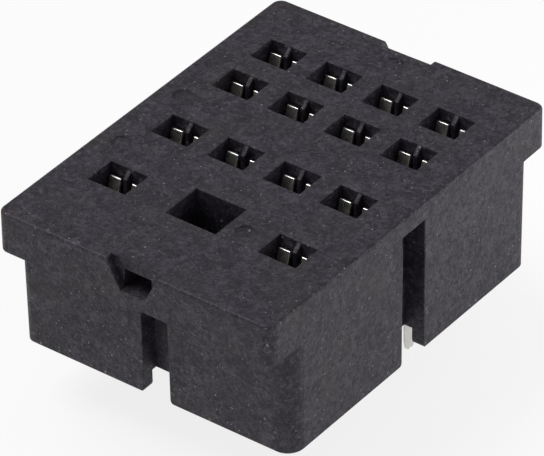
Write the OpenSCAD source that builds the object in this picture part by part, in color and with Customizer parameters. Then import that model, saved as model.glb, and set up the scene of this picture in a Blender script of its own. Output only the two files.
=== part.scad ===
// Plug-in relay socket for a circuit board: one moulded housing and fourteen stamped contacts.
// Millimetres. +X runs along a row of four contacts, +Y from the coil contacts to the first row,
// +Z up. The origin is on the board side, under the middle of the flange, level with the pin tips.

/* [Flange] */
// Width of the flange across the rows
flange_x = 21.2; // [20.9:0.1:24]
// Length of the flange from lip to lip
flange_y = 29.2; // [28.9:0.1:34]
// Thickness of the flange
flange_z = 3.0; // [2.6:0.1:4]
// Radius of the flange's upright corners
flange_corner_r = 0.7; // [0.6:0.05:2]
// Radius along the flange's top edge
top_edge_r = 0.22; // [0.1:0.02:0.28]
// How far each end lip stands out past the body
lip_out = 2.0; // [1.9:0.1:2.1]

/* [Body] */
// Height of the housing from its rim to its top face
housing_z = 11.3; // [10.8:0.1:14]
// How much each outer wall leans in over its height
draft = 0.1; // [0.02:0.02:0.16]
// Radius of three of the body's upright corners
body_corner_r = 0.7; // [0.5:0.05:1.2]
// Radius of the fourth corner, beside the last coil contact
key_corner_r = 1.35; // [0.6:0.05:1.6]
// Radius along the rim's outer edge
rim_edge_r = 0.2; // [0.1:0.02:0.3]
// How far the rim stands below the block that holds the contacts
rim_drop = 1.23; // [0.6:0.1:1.8]
// Thickness of the rim along the body's sides
rim_wall = 0.95; // [0.7:0.05:1]
// Smallest corner radius inside the rim
rim_inner_r = 0.3; // [0.2:0.05:0.5]

/* [Contact grid] */
// Pitch of the contacts along a row
pitch = 4.4; // [4.38:0.01:4.45]
// Distance of the first row from the middle of the flange
first_row_y = 9.28; // [9.1:0.02:9.4]
// Gap from the first row to the second
row_gap_12 = 4.1; // [3.9:0.05:4.3]
// Gap from the second row to the third
row_gap_23 = 6.3; // [6.1:0.05:6.5]
// Gap from the third row to the coil contacts
row_gap_34 = 6.35; // [6.2:0.05:6.5]

/* [Cells] */
// Width of a contact opening along the row
opening_x = 2.87; // [2.8:0.01:3]
// Length of a contact opening across the row
opening_y = 2.33; // [2.3:0.01:2.5]
// How much wider the lower part of the cell is on each side
step_x = 0.33; // [0.28:0.01:0.38]
// Height of the step above the bottom of the block
step_z = 3.3; // [3:0.1:4]
// Width of the lead-in rib in each long wall of a cell
rib_x = 0.34; // [0.2:0.02:0.4]
// How far a lead-in rib stands out from its wall
rib_out = 0.5; // [0.15:0.01:0.6]
// Height of the sloping top of a lead-in rib
rib_slope_z = 0.46; // [0.3:0.02:0.8]
// How far the lead-in rib starts below the top face
rib_drop = 0.12; // [0:0.02:0.2]

/* [Centre hole] */
// Width of the hole between the coil contacts
hole_x = 3.9; // [3:0.1:4.4]
// Length of the hole between the coil contacts
hole_y = 3.17; // [2.5:0.05:3.4]
// How far the hole's centre lies inward of the coil contacts
hole_offset_y = 0.37; // [0:0.02:0.5]

/* [Clip slots] */
// Width of the slot in each long side
side_slot_y = 2.33; // [1.5:0.05:2.5]
// Place of that slot along the body
side_slot_centre_y = 0.21; // [0:0.02:0.5]
// How far below the top face the side slot starts
side_slot_drop = 1.25; // [0.8:0.05:2]
// Depth of the side slot into the body
side_slot_depth = 1.6; // [1.1:0.05:1.7]
// Width of the slot in each end wall
end_slot_x = 2.05; // [1.5:0.05:3]
// Depth of the end slot into the body
end_slot_depth = 1.4; // [1.1:0.05:1.5]
// Radius of the slots' corners at the rim
slot_foot_r = 0.4; // [0.1:0.05:0.6]

/* [Clip notches] */
// Width of a lip's notch at the top face
notch_top_x = 4.0; // [3:0.1:5]
// Width of a lip's notch at its bottom
notch_foot_x = 1.8; // [1.2:0.1:2.6]
// Height of a lip's notch
notch_z = 2.06; // [1.6:0.02:2.3]
// Depth of a lip's notch
notch_depth = 0.6; // [0.3:0.05:0.9]
// Width of the pocket in the notch's back wall
pocket_x = 2.1; // [1.2:0.05:2.4]
// How far the pocket starts below the top face
pocket_drop = 0.8; // [0.6:0.05:1]
// Depth of the pocket behind the notch's back wall
pocket_depth = 1.5; // [0.5:0.1:1.8]

/* [Core pockets] */
// Wall left between a contact cell and a core pocket
core_wall = 0.9; // [0.7:0.05:1.2]
// Web left between two core pockets
core_web = 0.9; // [0.7:0.05:1.2]
// Thickness left above the core pockets
core_roof = 3.2; // [2:0.1:4]

/* [Mould marks] */
// Diameter of the round mould marks on the top face
mark_d = 1.4; // [1:0.1:1.6]
// Depth of the round mould marks
mark_z = 0.1; // [0.04:0.01:0.2]
// Width of the marks' sloping edge
mark_edge = 0.06; // [0.02:0.01:0.15]
// Distance of the end mark from the +Y lip's edge
end_mark_y = 1.9; // [1.8:0.1:2.5]
// Distance of the side marks from the -X edge
side_mark_x = 1.8; // [1.3:0.1:2]
// Distance of the inner mark from the middle, along the coil contacts' row
inner_mark_x = 3.3; // [3.1:0.05:3.6]

/* [Contacts] */
// Thickness of the contact's sheet
sheet = 0.24; // [0.18:0.01:0.28]
// Width of the slit between the two fingers of a leaf
slit_x = 0.86; // [0.6:0.02:1]
// Play between the leaves and the cell along the row
leaf_play_x = 0.09; // [0.05:0.01:0.14]
// Play between the leaves and the cell across the row
leaf_play_y = 0.12; // [0.1:0.01:0.16]
// How far the finger tips lie below the top face
tip_drop = 0.83; // [0.5:0.01:1.2]
// How far the gripping point lies below the top face
grip_drop = 2.9; // [2.4:0.1:4]
// Gap between the opposed leaves where they grip a blade
grip_gap = 0.22; // [0.1:0.02:0.4]
// Length of the slit's solid root above the step
root_z = 0.7; // [0.4:0.1:1.2]
// Inner radius of the sheet's sharp bends
bend_r = 0.14; // [0.1:0.02:0.2]
// Inner radius of the bow at the gripping point
grip_r = 0.8; // [0.4:0.1:1]
// Height of the contact's shoulder above the bottom of the block
shoulder_z = 0.75; // [0.5:0.05:1]
// Play between the contact's ears and the lower cell
ear_play_x = 0.04; // [0.02:0.01:0.08]
// Height of a barb's foot above the lower edge of its ear
barb_level = 0.5; // [0.3:0.05:0.8]
// Height of a barb's sloping side
barb_slope_z = 0.4; // [0.2:0.05:0.6]
// Height of the barb's flat, which bears on the wall of the cell
barb_flat_z = 0.1; // [0.05:0.01:0.2]

/* [Solder pins] */
// Length of a pin below the rim
pin_drop = 3.9; // [3:0.1:5]
// Width of a pin
pin_x = 0.75; // [0.6:0.01:1]
// Gap between the two layers of a pin
pin_gap = 0.08; // [0.04:0.01:0.12]
// Height of a pin's tapered tip
pin_taper_z = 0.75; // [0.4:0.05:1]
// Width of a pin at the end of its tip
pin_tip_x = 0.3; // [0.2:0.02:0.5]

/* [Hidden] */
columns = 4;
contact_count = 14;

$fn = 48;
// Overshoot of a cutter past the face that it opens
over = 1;
// Overlap of two cutters that meet
lap = 0.1;

plastic = [0.16, 0.155, 0.17];
metal = [0.72, 0.71, 0.68];

// Levels, from the pin tips up
rim_z = pin_drop;
block_z = rim_z + rim_drop;
top_z = rim_z + housing_z;
lip_z = top_z - flange_z;
step_top_z = block_z + step_z;
foot_band_z = 2 * rim_edge_r;
core_top_z = top_z - core_roof;

// Plan sizes of the body, just under the flange
body_x = flange_x;
body_y = flange_y - 2 * lip_out;
foot_x = body_x - 2 * draft;
foot_y = body_y - 2 * draft;

// Contact grid
row_y = [
    first_row_y,
    first_row_y - row_gap_12,
    first_row_y - row_gap_12 - row_gap_23,
    first_row_y - row_gap_12 - row_gap_23 - row_gap_34
];
coil_row = 3;
function column_x(i) = (i - (columns - 1) / 2) * pitch;
function is_coil(n) = n > coil_row * columns;
function contact_x(n) =
    is_coil(n)
        ? column_x(n == contact_count ? columns - 1 : 0)
        : column_x((n - 1) % columns);
function contact_y(n) = row_y[is_coil(n) ? coil_row : floor((n - 1) / columns)];

hole_centre_y = row_y[coil_row] + hole_offset_y;
cell_x = opening_x + 2 * step_x;

// Contact sizes that follow the cell
leaf_x = opening_x - 2 * leaf_play_x;
leaf_out = opening_y / 2 - leaf_play_y - sheet / 2;
ear_x = cell_x - 2 * ear_play_x;
pin_layer_y = (pin_gap + sheet) / 2;
grip_y = (grip_gap + sheet) / 2;
shoulder_level = block_z + shoulder_z + sheet / 2;
tip_z = top_z - tip_drop;
grip_z = top_z - grip_drop;
root_top_z = step_top_z + root_z;

// ---------------------------------------------------------------- rounded outlines

corner_signs = [[-1, -1], [1, -1], [1, 1], [-1, 1]];

// Turns a shape drawn in the +X +Y quadrant to the quadrant of the given signs
module to_quadrant(signs) {
    mirror([signs.x < 0 ? 1 : 0, 0, 0])
        mirror([0, signs.y < 0 ? 1 : 0, 0])
            children();
}

// The waste outside a rounded corner of radius r, whose centre is the origin
module corner_waste(r) {
    difference() {
        square(r + over);
        circle(r);
    }
}

// A rectangle whose corners have the radii r[0] to r[3], from (-x, -y) round by (+x, -y)
module plan(x, y, r) {
    difference() {
        square([x, y], center = true);
        for (i = [0 : 3])
            translate([corner_signs[i].x * (x / 2 - r[i]), corner_signs[i].y * (y / 2 - r[i])])
                to_quadrant(corner_signs[i])
                    corner_waste(r[i]);
    }
}

// The section of a slab of width w and height z, with both upper corners rounded to radius e
module soft_section(w, z, e) {
    difference() {
        translate([-w / 2, 0])
            square([w, z]);
        for (side = [-1, 1])
            translate([side * (w / 2 - e), z - e])
                to_quadrant([side, 1])
                    corner_waste(e);
    }
}

// The same section from the middle to one side, for turning about the middle
module half_soft_section(w, z, e) {
    intersection() {
        soft_section(w, z, e);
        square([w, z]);
    }
}

// A slab on z = 0 with corner radii as in plan, and a quarter-round of radius e on its top edge
module soft_slab(x, y, z, r, e) {
    difference() {
        intersection() {
            translate([0, y / 2, 0])
                rotate([90, 0, 0])
                    linear_extrude(y)
                        soft_section(x, z, e);
            translate([-x / 2, 0, 0])
                rotate([90, 0, 90])
                    linear_extrude(x)
                        soft_section(y, z, e);
        }
        for (i = [0 : 3])
            translate([corner_signs[i].x * (x / 2 - r[i]), corner_signs[i].y * (y / 2 - r[i]), 0])
                to_quadrant(corner_signs[i])
                    difference() {
                        translate([0, 0, -over])
                            cube([r[i] + over, r[i] + over, z + 2 * over]);
                        rotate_extrude()
                            half_soft_section(2 * r[i], z, e);
                        translate([0, 0, -2 * over])
                            cylinder(h = 2 * over, r = r[i]);
                        translate([0, 0, z - e])
                            cylinder(h = 2 * over, r = r[i] - e);
                    }
    }
}

// ---------------------------------------------------------------- housing

body_radii = [body_corner_r, key_corner_r, body_corner_r, body_corner_r];
flange_radii = [for (i = [0 : 3]) flange_corner_r];

// The body's outer form: four walls that lean in by the draft, with round upright corners
module drafted_body() {
    low = rim_z + foot_band_z;
    z = lip_z - low;
    difference() {
        intersection() {
            translate([0, body_y / 2, low])
                rotate([90, 0, 0])
                    linear_extrude(body_y)
                        leaning_section(foot_x, body_x, z);
            translate([-body_x / 2, 0, low])
                rotate([90, 0, 90])
                    linear_extrude(body_x)
                        leaning_section(foot_y, body_y, z);
        }
        for (i = [0 : 3]) {
            r = body_radii[i];
            centre = [corner_signs[i].x * (body_x / 2 - r), corner_signs[i].y * (body_y / 2 - r)];
            translate([centre.x, centre.y, low])
                to_quadrant(corner_signs[i])
                    difference() {
                        cube([r + over, r + over, z]);
                        cylinder(h = z, r1 = r - draft, r2 = r);
                    }
        }
    }
}

module leaning_section(foot_w, top_w, z) {
    polygon([[-foot_w / 2, 0], [foot_w / 2, 0], [top_w / 2, z], [-top_w / 2, z]]);
}

// The lowest stretch of the body, upright and with its outer edge rounded
module foot_band() {
    foot_radii = [for (r = body_radii) r - draft];
    translate([0, 0, rim_z + foot_band_z])
        mirror([0, 0, 1])
            soft_slab(foot_x, foot_y, foot_band_z, foot_radii, rim_edge_r);
}

// The space inside the rim, below the block
module rim_space() {
    inner_r = [for (r = body_radii) max(r - rim_wall, rim_inner_r)];
    translate([0, 0, rim_z - over])
        linear_extrude(rim_drop + over)
            plan(foot_x - 2 * rim_wall, foot_y - 2 * rim_wall, inner_r);
}

// One contact's cell: the opening, and the wider part below the step
module cell() {
    translate([-opening_x / 2, -opening_y / 2, block_z - over])
        cube([opening_x, opening_y, top_z - block_z + 2 * over]);
    translate([-cell_x / 2, -opening_y / 2, block_z - over])
        cube([cell_x, opening_y, step_z + over]);
}

// The rib that guides a relay's blade past the finger tips, on the +Y wall of a cell
module lead_in_rib() {
    rib_top = top_z - rib_drop;
    rib_foot = root_top_z + leaf_play_y;
    wall = opening_y / 2;
    translate([-rib_x / 2, 0, 0])
        rotate([90, 0, 90])
            linear_extrude(rib_x)
                polygon([
                    [wall, rib_top],
                    [wall - rib_out, rib_top - rib_slope_z],
                    [wall - rib_out, rib_foot],
                    [wall, rib_foot]
                ]);
}

// A slot of the given width, open at the rim, whose lower corners are rounded outward.
// It cuts along -X from x = 0, centred on y = 0, from the rim up to level.
module foot_slot(width, depth, level) {
    z = level - rim_z;
    translate([-depth, 0, rim_z])
        rotate([90, 0, 90])
            linear_extrude(depth + over) {
                translate([-width / 2, -over])
                    square([width, z + over]);
                difference() {
                    translate([-width / 2 - slot_foot_r, -over])
                        square([width + 2 * slot_foot_r, slot_foot_r + over]);
                    for (side = [-1, 1])
                        translate([side * (width / 2 + slot_foot_r), slot_foot_r])
                            circle(slot_foot_r);
                }
            }
}

// The notch in the +Y lip, with the deeper pocket in its back wall
module clip_notch() {
    translate([0, flange_y / 2 + over, top_z])
        rotate([90, 0, 0])
            linear_extrude(notch_depth + over)
                polygon([
                    [-notch_foot_x / 2, -notch_z],
                    [notch_foot_x / 2, -notch_z],
                    [notch_top_x / 2, 0],
                    [notch_top_x / 2, over],
                    [-notch_top_x / 2, over],
                    [-notch_top_x / 2, 0]
                ]);
    translate([-pocket_x / 2, flange_y / 2 - notch_depth - pocket_depth, top_z - notch_z])
        cube([pocket_x, pocket_depth + lap, notch_z - pocket_drop]);
}

// A core pocket with the given plan limits, open at the bottom of the block
module core(x1, x2, y1, y2) {
    translate([x1, y1, block_z - over])
        cube([x2 - x1, y2 - y1, core_top_z - block_z + over]);
}

// The pockets that keep the walls between the rows even
module core_pockets() {
    half_cell_y = opening_y / 2 + core_wall;
    pocket_half_x = (pitch - core_web) / 2;
    hole_edge_y = hole_centre_y + hole_y / 2 + core_wall;
    for (i = [0 : columns - 1]) {
        x = column_x(i);
        beside_hole = abs(x) < pitch;
        core(
            x - pocket_half_x, x + pocket_half_x,
            row_y[2] + half_cell_y, row_y[1] - half_cell_y
        );
        core(
            x - pocket_half_x, x + pocket_half_x,
            beside_hole ? hole_edge_y : row_y[3] + half_cell_y, row_y[2] - half_cell_y
        );
    }
    for (side = [-1, 1]) {
        inner = hole_x / 2 + core_wall;
        outer = column_x(columns - 1) - cell_x / 2 - core_wall;
        core(
            min(side * inner, side * outer), max(side * inner, side * outer),
            hole_centre_y - hole_y / 2, hole_centre_y + hole_y / 2
        );
    }
}

// Round marks that the mould leaves on the top face
mark_places = [
    [0, flange_y / 2 - end_mark_y],
    [side_mark_x - flange_x / 2, (row_y[1] + row_y[2]) / 2],
    [side_mark_x - flange_x / 2, (row_y[2] + row_y[3]) / 2],
    [inner_mark_x, row_y[coil_row]]
];

// A mark's dish, from its floor up past the top face
module mark() {
    floor_d = mark_d - 2 * mark_edge;
    growth = 2 * mark_edge * (mark_z + over) / mark_z;
    cylinder(h = mark_z + over, d1 = floor_d, d2 = floor_d + growth);
}

module housing() {
    color(plastic)
        difference() {
            union() {
                difference() {
                    union() {
                        drafted_body();
                        foot_band();
                        translate([0, 0, lip_z])
                            soft_slab(flange_x, flange_y, flange_z, flange_radii, top_edge_r);
                    }
                    for (n = [1 : contact_count])
                        translate([contact_x(n), contact_y(n), 0])
                            cell();
                }
                for (n = [1 : contact_count], side = [0, 1])
                    translate([contact_x(n), contact_y(n), 0])
                        mirror([0, side, 0])
                            lead_in_rib();
            }
            rim_space();
            translate([-hole_x / 2, hole_centre_y - hole_y / 2, block_z - over])
                cube([hole_x, hole_y, top_z - block_z + 2 * over]);
            for (side = [0, 1])
                mirror([side, 0, 0])
                    translate([body_x / 2, side_slot_centre_y, 0])
                        foot_slot(side_slot_y, side_slot_depth, top_z - side_slot_drop);
            for (side = [0, 1])
                mirror([0, side, 0])
                    translate([0, body_y / 2, 0])
                        rotate([0, 0, 90])
                            foot_slot(end_slot_x, end_slot_depth, lip_z);
            for (side = [0, 1])
                mirror([0, side, 0])
                    clip_notch();
            core_pockets();
            for (place = mark_places)
                translate([place.x, place.y, top_z - mark_z])
                    mark();
        }
}

// ---------------------------------------------------------------- contacts

// Unit vector from a to b
function heading(a, b) = (b - a) / norm(b - a);
// The left-hand normal of a heading
function left_of(h) = [-h.y, h.x];
function cross_of(a, b) = a.x * b.y - a.y * b.x;

// One edge of a strip of sheet along the points p, offset by s to the left, where the corner at
// point i bends with centre-line radius r[i]. Each bend is an arc of bend_steps steps.
bend_steps = 5;
function bend_edge(p, r, s, i) =
    let (
        h1 = heading(p[i - 1], p[i]),
        h2 = heading(p[i], p[i + 1]),
        turn = cross_of(h1, h2) < 0 ? -1 : 1,
        angle = acos(max(-1, min(1, h1 * h2))),
        start = p[i] - h1 * r[i] * tan(angle / 2),
        centre = start + left_of(h1) * r[i] * turn,
        first = start - centre
    )
    [
        for (k = [0 : bend_steps])
            let (
                a = turn * angle * k / bend_steps,
                spoke = [
                    first.x * cos(a) - first.y * sin(a),
                    first.x * sin(a) + first.y * cos(a)
                ]
            )
            centre + spoke * (r[i] - turn * s) / r[i]
    ];

function strip_edge(p, r, s) =
    let (last = len(p) - 1)
    [
        p[0] + left_of(heading(p[0], p[1])) * s,
        for (i = [1 : last - 1]) each bend_edge(p, r, s, i),
        p[last] + left_of(heading(p[last - 1], p[last])) * s
    ];

function reversed(list) = [for (i = [len(list) - 1 : -1 : 0]) list[i]];

// The section of a strip of sheet along the points p
module strip(p, r) {
    polygon(concat(strip_edge(p, r, sheet / 2), reversed(strip_edge(p, r, -sheet / 2))));
}

bend = bend_r + sheet / 2;
bow = grip_r + sheet / 2;

// The path of one half of the contact, from inside the pin out, up and over to the finger tip
half_path = [
    [pin_layer_y, shoulder_level - 2 * bend],
    [pin_layer_y, shoulder_level],
    [leaf_out, shoulder_level],
    [leaf_out, root_top_z],
    [grip_y, grip_z],
    [leaf_out, tip_z]
];
half_radii = [0, bend, bend, bow, bow, 0];

// The leaf of the +Y side, as wide as the cell allows, slit into two fingers above its root
module leaf() {
    difference() {
        translate([-leaf_x / 2, 0, 0])
            rotate([90, 0, 90])
                linear_extrude(leaf_x)
                    strip(half_path, half_radii);
        translate([-slit_x / 2, -over, root_top_z])
            cube([slit_x, opening_y, top_z - root_top_z]);
        for (side = [0, 1])
            mirror([side, 0, 0])
                translate([pin_x / 2, -over, block_z - over])
                    cube([leaf_x, over + leaf_out - bend - sheet / 2, shoulder_z + over]);
    }
}

// The ears on the root of the +Y leaf, which stop against the step of the cell
module ears() {
    low = shoulder_level + bend;
    barb_top = barb_level + barb_slope_z + barb_flat_z;
    translate([-ear_x / 2, leaf_out - sheet / 2, low])
        cube([ear_x, sheet, step_top_z - low]);
    for (side = [0, 1])
        mirror([side, 0, 0])
            translate([ear_x / 2, leaf_out + sheet / 2, low])
                rotate([90, 0, 0])
                    linear_extrude(sheet)
                        polygon([
                            [0, barb_level],
                            [ear_play_x, barb_level + barb_slope_z],
                            [ear_play_x, barb_top],
                            [0, barb_top]
                        ]);
}

// The solder pin: the sheet folded double about the pin's -X edge, with a tapered tip
module solder_pin() {
    fold_r = pin_gap / 2 + sheet;
    height = shoulder_level - 2 * bend;
    intersection() {
        linear_extrude(height) {
            difference() {
                translate([-pin_x / 2 + fold_r, -fold_r])
                    square([pin_x - fold_r, 2 * fold_r]);
                translate([-pin_x / 2 + fold_r, -pin_gap / 2])
                    square([pin_x, pin_gap]);
            }
            intersection() {
                translate([-pin_x / 2 + fold_r, 0])
                    difference() {
                        circle(fold_r);
                        circle(pin_gap / 2);
                    }
                translate([-pin_x, -pin_x])
                    square([pin_x / 2 + fold_r, 2 * pin_x]);
            }
        }
        translate([0, pin_x, 0])
            rotate([90, 0, 0])
                linear_extrude(2 * pin_x)
                    polygon([
                        [-pin_tip_x / 2, 0],
                        [pin_tip_x / 2, 0],
                        [pin_x / 2, pin_taper_z],
                        [pin_x / 2, height],
                        [-pin_x / 2, height],
                        [-pin_x / 2, pin_taper_z]
                    ]);
    }
}

module contact(n) {
    color(metal)
        translate([contact_x(n), contact_y(n), 0]) {
            for (side = [0, 1])
                mirror([0, side, 0]) {
                    leaf();
                    ears();
                }
            solder_pin();
        }
}

housing();
for (n = [1 : contact_count]) contact(n);
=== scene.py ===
"""Looks of a plug-in relay socket: glass-filled black plastic and fourteen tinned contacts."""
import math

import bpy
from mathutils import Matrix, Vector


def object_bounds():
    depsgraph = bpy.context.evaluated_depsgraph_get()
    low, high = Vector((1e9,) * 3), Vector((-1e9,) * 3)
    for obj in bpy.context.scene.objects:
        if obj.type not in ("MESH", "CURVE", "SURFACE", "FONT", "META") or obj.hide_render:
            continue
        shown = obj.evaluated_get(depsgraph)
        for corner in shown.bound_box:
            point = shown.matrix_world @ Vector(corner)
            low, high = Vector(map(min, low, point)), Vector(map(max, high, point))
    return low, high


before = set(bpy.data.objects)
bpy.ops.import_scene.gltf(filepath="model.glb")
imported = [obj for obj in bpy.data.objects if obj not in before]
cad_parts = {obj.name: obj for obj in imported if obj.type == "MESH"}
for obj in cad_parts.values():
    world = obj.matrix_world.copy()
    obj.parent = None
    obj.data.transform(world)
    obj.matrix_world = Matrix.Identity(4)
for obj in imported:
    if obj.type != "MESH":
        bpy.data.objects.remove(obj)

MM = 0.001
cad_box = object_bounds()

# The camera, as azimuth, elevation and roll round a point near the middle of the part
AZIMUTH = 37.451
ELEVATION = 35.955
ROLL = -1.053
TARGET = Vector((-0.801, 0.644, 8.977)) * MM
DISTANCE = 363.905 * MM
LENS = 380.12
SENSOR = 36.0
CLIP_START = 1 * MM
CLIP_END = 10

# Rounding of the moulding's and the stampings' outer edges that turn by more than the angle
MOULDED_R = 0.07 * MM
MOULDED_ANGLE = 62
STAMPED_R = 0.06 * MM
STAMPED_ANGLE = 50
BEVEL_SEGMENTS = 3
# Faces that meet at more than this stay creased
CREASE_ANGLE = 20
# Triangles that turn by less than this are one flat face
FLAT_WITHIN = 0.5
# Corners nearer than this are one corner
JOIN_WITHIN = 0.001 * MM
# How far large faces outweigh small ones in the shading of an edge, where 50 is even
FLAT_WEIGHT = 80

# The sky fades from HORIZON to ZENITH at a ray height of BAND_TOP, and a level of 1 renders white.
# The lamps are in degrees, metres and watts
ZENITH = 0.20
HORIZON = 0.80
BAND_TOP = 0.85
OVERHEAD = dict(azimuth=288, elevation=60, distance=0.5, size=0.30, power=1.7)
WINDOW = dict(azimuth=132, elevation=16, distance=0.055, size=0.035, power=0.011)

# Floor: its size, its gap below the part, its grey, and the share of it that glows white when seen
FLOOR_SIZE = 2.0
FLOOR_GAP = 0.02 * MM
FLOOR_GREY = 0.9
GLOW_SHARE = 0.82

# Colours, linear
PLASTIC_DARK = (0.0020, 0.0003, 0.0062)
PLASTIC_PALE = (0.0420, 0.0345, 0.0500)
PLASTIC_WARM = (0.0250, 0.0190, 0.0200)
PLASTIC_FLECK = (0.210, 0.200, 0.210)
TIN_DULL = (0.50, 0.49, 0.46)
TIN_BRIGHT = (0.80, 0.79, 0.76)
WHITE = (1, 1, 1)

# The value that a noise crosses most often, and the span of it over which a roughness changes
NOISE_MIDDLE = 0.5
ROUGH_RANGE = (0.3, 0.7)

# The plastic's mottle, in two grains. A range is the span of noise from none to all of a layer,
# and a share is how much of the layer shows there
GRAIN = dict(grain=0.46 * MM, detail=3.0, rough=0.62, distortion=1.4)
GRAIN_RANGE = (0.30, 0.70)
FINE = dict(grain=0.21 * MM, detail=2.0, rough=0.6, distortion=0.8)
FINE_RANGE = (0.40, 0.75)
FINE_SHARE = 0.45
FINE_GAIN = 1.3
# Darker clouds, and broad smudges of a warmer tone
CLOUD = dict(grain=1.1 * MM, detail=2.0)
CLOUD_RANGE = (0.35, 0.65)
CLOUD_SHARE = 0.55
SMUDGE = dict(grain=3.5 * MM, detail=2.0)
SMUDGE_RANGE = (0.45, 0.70)
SMUDGE_SHARE = 0.35
# Short pale fibres of glass
FIBRE = dict(grain=0.62 * MM, detail=1.0, distortion=2.2)
FIBRE_WIDTH = 0.06
FIBRE_CUT = dict(grain=0.40 * MM, detail=0.0)
FIBRE_CUT_RANGE = (0.48, 0.60)
FIBRE_SHARE = 0.40
FIBRE_GAIN = 0.6
# Pale ends of fibres
FLECK = dict(grain=0.20 * MM, detail=0.0)
FLECK_RANGE = (0.775, 0.84)
FLECK_SHARE = 0.9
# The spot where the moulding's gate was cut off, inside the mark beside the large hole
GATE = Vector((3.3, -7.47, 15.1)) * MM
GATE_R = 0.75 * MM
GATE_CORE_R = GATE_R * 0.5
GATE_RANGE = (0.42, 0.60)
GATE_SHARES = (0.15, 0.85)
# The plastic's surface: its roughness at each end of ROUGH_RANGE, its gloss and its relief
PLASTIC_ROUGH = (0.62, 0.48)
PLASTIC_SPECULAR = 0.36
FINE_HEIGHT = 0.35
BUMP_DEPTH = 0.04 * MM

# The tin's uneven coat: its roughness at each end of ROUGH_RANGE
TIN_PATCH = dict(grain=0.5 * MM, detail=3.0, rough=0.6)
TIN_ROUGH = (0.24, 0.38)
TIN_METALLIC = 0.92

# ------------------------------------------------------------------ shader helpers


class Graph:
    """A material or world node tree, with short calls that add a node and link its inputs."""

    def __init__(self, owner):
        owner.use_nodes = True
        self.tree = owner.node_tree
        self.tree.nodes.clear()

    def add(self, kind, settings=None, **inputs):
        """Adds a node. An underscore in the name of an input stands for a space."""
        node = self.tree.nodes.new(kind)
        for key, value in (settings or {}).items():
            setattr(node, key, value)
        for name, value in inputs.items():
            self.put(node, name.replace("_", " "), value)
        return node

    def put(self, node, name, value):
        """Links or sets an input, by its name or by its number as text."""
        socket = node.inputs[int(name)] if name.isdigit() else node.inputs[name]
        if isinstance(value, bpy.types.NodeSocket):
            self.tree.links.new(value, socket)
        else:
            socket.default_value = value

    def coords(self):
        return self.add("ShaderNodeTexCoord").outputs["Object"]

    def noise(self, vector, grain, detail, rough=0.5, distortion=0.0):
        """Noise whose features are about grain metres across."""
        node = self.add("ShaderNodeTexNoise", Vector=vector, Scale=1 / grain, Detail=detail,
                        Roughness=rough, Distortion=distortion)
        return node.outputs["Fac"]

    def math(self, operation, a, b=0.0, c=0.0):
        node = self.add("ShaderNodeMath", {"operation": operation})
        for index, value in enumerate((a, b, c)):
            self.put(node, str(index), value)
        return node.outputs[0]

    def spread(self, value, low, high, to_low=0.0, to_high=1.0):
        """Maps low..high to to_low..to_high, smoothly and clamped."""
        node = self.add("ShaderNodeMapRange", {"interpolation_type": "SMOOTHSTEP"}, Value=value)
        ends = {"From Min": low, "From Max": high, "To Min": to_low, "To Max": to_high}
        for name, number in ends.items():
            node.inputs[name].default_value = number
        return node.outputs["Result"]

    def mix(self, factor, a, b):
        """Mixes two colours."""
        node = self.add("ShaderNodeMix", {"data_type": "RGBA"})
        self.put(node, "0", factor)
        self.put(node, "6", a)
        self.put(node, "7", b)
        return node.outputs[2]

    def bump(self, height, depth):
        return self.add("ShaderNodeBump", Height=height, Strength=1.0, Distance=depth).outputs["Normal"]

    def distance(self, vector, point):
        node = self.add("ShaderNodeVectorMath", {"operation": "DISTANCE"})
        self.put(node, "0", vector)
        self.put(node, "1", point)
        return node.outputs["Value"]


def rgba(color, gain=1.0):
    return tuple(c * gain for c in color) + (1.0,)


# ------------------------------------------------------------------ materials


def plastic_material():
    """Black glass-filled plastic: a swirled mottle, short pale fibres, broad smudges and a few flecks."""
    material = bpy.data.materials.new("housing_plastic")
    g = Graph(material)
    at = g.coords()
    grain = g.noise(at, **GRAIN)
    fine = g.noise(at, **FINE)
    dark = rgba(PLASTIC_DARK)
    tone = g.mix(g.spread(grain, *GRAIN_RANGE), dark, rgba(PLASTIC_PALE))
    tone = g.mix(g.spread(fine, *FINE_RANGE, 0.0, FINE_SHARE), tone, rgba(PLASTIC_PALE, FINE_GAIN))
    tone = g.mix(g.spread(g.noise(at, **CLOUD), *CLOUD_RANGE, 0.0, CLOUD_SHARE), tone, dark)
    smudge = g.spread(g.noise(at, **SMUDGE), *SMUDGE_RANGE, 0.0, SMUDGE_SHARE)
    tone = g.mix(smudge, tone, rgba(PLASTIC_WARM))
    # a fibre lies where a warped noise crosses its middle, and is cut short by a second noise
    line = g.math("ABSOLUTE", g.math("SUBTRACT", g.noise(at, **FIBRE), NOISE_MIDDLE))
    fibre = g.math("MULTIPLY", g.spread(line, 0.0, FIBRE_WIDTH, 1.0, 0.0),
                   g.spread(g.noise(at, **FIBRE_CUT), *FIBRE_CUT_RANGE))
    tone = g.mix(g.math("MULTIPLY", fibre, FIBRE_SHARE), tone, rgba(PLASTIC_FLECK, FIBRE_GAIN))
    # the cut gate left a rough, darker spot
    scar = g.spread(g.distance(at, GATE), GATE_CORE_R, GATE_R, 1.0, 0.0)
    patchy = g.spread(fine, *GATE_RANGE, *GATE_SHARES)
    tone = g.mix(g.math("MULTIPLY", scar, patchy), tone, dark)
    # a fleck is the rare peak of a small noise
    fleck = g.spread(g.noise(at, **FLECK), *FLECK_RANGE)
    tone = g.mix(g.math("MULTIPLY", fleck, FLECK_SHARE), tone, rgba(PLASTIC_FLECK))
    height = g.math("MULTIPLY_ADD", fine, FINE_HEIGHT, grain)
    shader = g.add("ShaderNodeBsdfPrincipled", Base_Color=tone, Normal=g.bump(height, BUMP_DEPTH),
                   Roughness=g.spread(grain, *ROUGH_RANGE, *PLASTIC_ROUGH),
                   Specular_IOR_Level=PLASTIC_SPECULAR)
    g.add("ShaderNodeOutputMaterial", Surface=shader.outputs[0])
    return material


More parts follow.
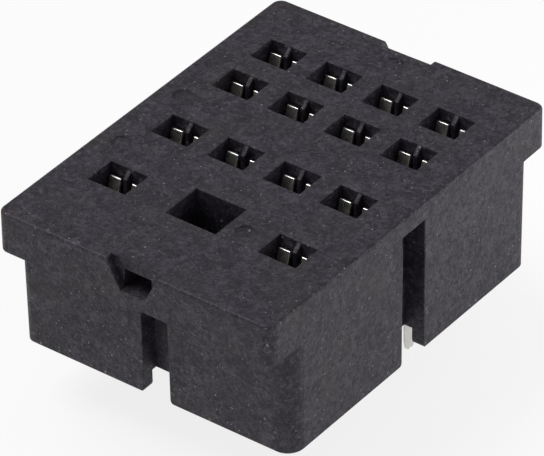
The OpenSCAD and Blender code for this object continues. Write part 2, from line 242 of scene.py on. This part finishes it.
def contact_material():
    """Tinned sheet: satin, with a slightly uneven coat of tin."""
    material = bpy.data.materials.new("contact_tin")
    g = Graph(material)
    patch = g.noise(g.coords(), **TIN_PATCH)
    shader = g.add("ShaderNodeBsdfPrincipled", Metallic=TIN_METALLIC,
                   Base_Color=g.mix(patch, rgba(TIN_DULL), rgba(TIN_BRIGHT)),
                   Roughness=g.spread(patch, *ROUGH_RANGE, *TIN_ROUGH))
    g.add("ShaderNodeOutputMaterial", Surface=shader.outputs[0])
    return material


def seen(g):
    """1 where the ray comes from the camera, or from a glossy or clear surface."""
    path = g.add("ShaderNodeLightPath")
    seen_by = g.math("MAXIMUM", path.outputs["Is Camera Ray"], path.outputs["Is Glossy Ray"])
    return g.math("MAXIMUM", seen_by, path.outputs["Is Transmission Ray"])


def floor_material():
    """Pale floor that keeps a soft share of the object's shadow."""
    material = bpy.data.materials.new("pale_floor")
    g = Graph(material)
    diffuse = g.add("ShaderNodeBsdfDiffuse", Color=rgba((FLOOR_GREY,) * 3))
    white = g.add("ShaderNodeEmission", Color=rgba(WHITE), Strength=1.0)
    mixed = g.add("ShaderNodeMixShader")
    g.put(mixed, "0", g.math("MULTIPLY", seen(g), GLOW_SHARE))
    g.put(mixed, "1", diffuse.outputs[0])
    g.put(mixed, "2", white.outputs[0])
    g.add("ShaderNodeOutputMaterial", Surface=mixed.outputs[0])
    return material


# ------------------------------------------------------------------ pieces


def dress(node, material):
    """Gives a CAD node's object its material."""
    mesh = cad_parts[node].data
    mesh.materials.clear()
    mesh.materials.append(material)


def mark_edges(mesh, angle):
    """Marks creases as sharp, and gives a bevel weight to outer edges that turn by more than an angle.

    The faces of a CAD mesh share no corners, so their edges are paired by place.
    """
    def place(edge):
        ends = [mesh.vertices[corner].co for corner in edge]
        return tuple(sorted(tuple(round(value / JOIN_WITHIN) for value in end) for end in ends))

    sides = {}
    for face in mesh.polygons:
        for edge in face.edge_keys:
            sides.setdefault(place(edge), []).append(face)
    weights = mesh.attributes.new("bevel_weight_edge", "FLOAT", "EDGE")
    for edge in mesh.edges:
        faces = sides.get(place(edge.vertices), [])
        if len(faces) != 2:
            continue
        first, second = faces
        turn = math.degrees(first.normal.angle(second.normal, 0))
        outer = (second.center - first.center).dot(first.normal) < 0
        edge.use_edge_sharp = turn > CREASE_ANGLE
        weights.data[edge.index].value = 1.0 if outer and turn > angle else 0.0


def soften(node, radius, angle):
    """Rounds the outer edges of a CAD node's object, as moulding or stamping leaves them."""
    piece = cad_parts[node]
    mark_edges(piece.data, angle)
    joined = piece.modifiers.new("joined", "WELD")
    joined.merge_threshold = JOIN_WITHIN
    flats = piece.modifiers.new("whole_flats", "DECIMATE")
    flats.decimate_type = "DISSOLVE"
    flats.angle_limit = math.radians(FLAT_WITHIN)
    bevel = piece.modifiers.new("soft_edges", "BEVEL")
    bevel.width = radius
    bevel.segments = BEVEL_SEGMENTS
    bevel.limit_method = "WEIGHT"
    bevel.use_clamp_overlap = False
    shading = piece.modifiers.new("flat_faces", "WEIGHTED_NORMAL")
    shading.mode = "FACE_AREA"
    shading.weight = FLAT_WEIGHT
    shading.keep_sharp = True


# ------------------------------------------------------------------ stage


def direction(azimuth, elevation):
    """Unit vector from the part towards a place. Azimuth 0 is -Y, and 90 is +X."""
    a, e = math.radians(azimuth), math.radians(elevation)
    return Vector((math.sin(a) * math.cos(e), -math.cos(a) * math.cos(e), math.sin(e)))


def add_floor():
    half = FLOOR_SIZE / 2
    corners = [(-half, -half, 0), (half, -half, 0), (half, half, 0), (-half, half, 0)]
    mesh = bpy.data.meshes.new("floor")
    mesh.from_pydata(corners, [], [(0, 1, 2, 3)])
    mesh.materials.append(floor_material())
    floor = bpy.data.objects.new("floor", mesh)
    bpy.context.scene.collection.objects.link(floor)
    floor.location.z = cad_box[0][2] - FLOOR_GAP


def add_world():
    """A studio that is pale round the horizon and dimmer overhead, and white where the camera sees it."""
    world = bpy.data.worlds.new("studio")
    bpy.context.scene.world = world
    g = Graph(world)
    ray = g.add("ShaderNodeTexCoord").outputs["Generated"]
    height = g.add("ShaderNodeSeparateXYZ", Vector=ray).outputs["Z"]
    band = g.spread(height, 0.0, BAND_TOP, HORIZON, ZENITH)
    white = g.add("ShaderNodeLightPath").outputs["Is Camera Ray"]
    strength = g.math("MAXIMUM", band, white)
    back = g.add("ShaderNodeBackground", Color=rgba(WHITE), Strength=strength)
    g.add("ShaderNodeOutputWorld", Surface=back.outputs[0])


def add_lamp(name, azimuth, elevation, distance, size, power):
    """A square soft light that looks at the part, and that the camera doesn't see."""
    lamp = bpy.data.lights.new(name, "AREA")
    lamp.shape = "SQUARE"
    lamp.size = size
    lamp.energy = power
    holder = bpy.data.objects.new(name, lamp)
    bpy.context.scene.collection.objects.link(holder)
    away = direction(azimuth, elevation)
    holder.location = TARGET + away * distance
    holder.rotation_euler = away.to_track_quat("Z", "Y").to_euler()
    holder.visible_camera = False


def add_camera():
    data = bpy.data.cameras.new("camera")
    data.lens = LENS
    data.sensor_width = SENSOR
    data.clip_start = CLIP_START
    data.clip_end = CLIP_END
    camera = bpy.data.objects.new("camera", data)
    bpy.context.scene.collection.objects.link(camera)
    back = direction(AZIMUTH, ELEVATION)
    level = back.to_track_quat("Z", "Y").to_matrix().to_4x4()
    camera.matrix_world = (Matrix.Translation(TARGET + back * DISTANCE) @ level
                           @ Matrix.Rotation(math.radians(ROLL), 4, "Z"))
    bpy.context.scene.camera = camera


# ------------------------------------------------------------------ build

plastic = plastic_material()
tin = contact_material()
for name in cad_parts:
    if name.startswith("contact_"):
        dress(name, tin)
        soften(name, STAMPED_R, STAMPED_ANGLE)
dress("housing", plastic)
soften("housing", MOULDED_R, MOULDED_ANGLE)

add_floor()
add_world()
add_lamp("overhead", **OVERHEAD)
add_lamp("window", **WINDOW)
add_camera()
bpy.context.scene.view_settings.view_transform = "Standard"
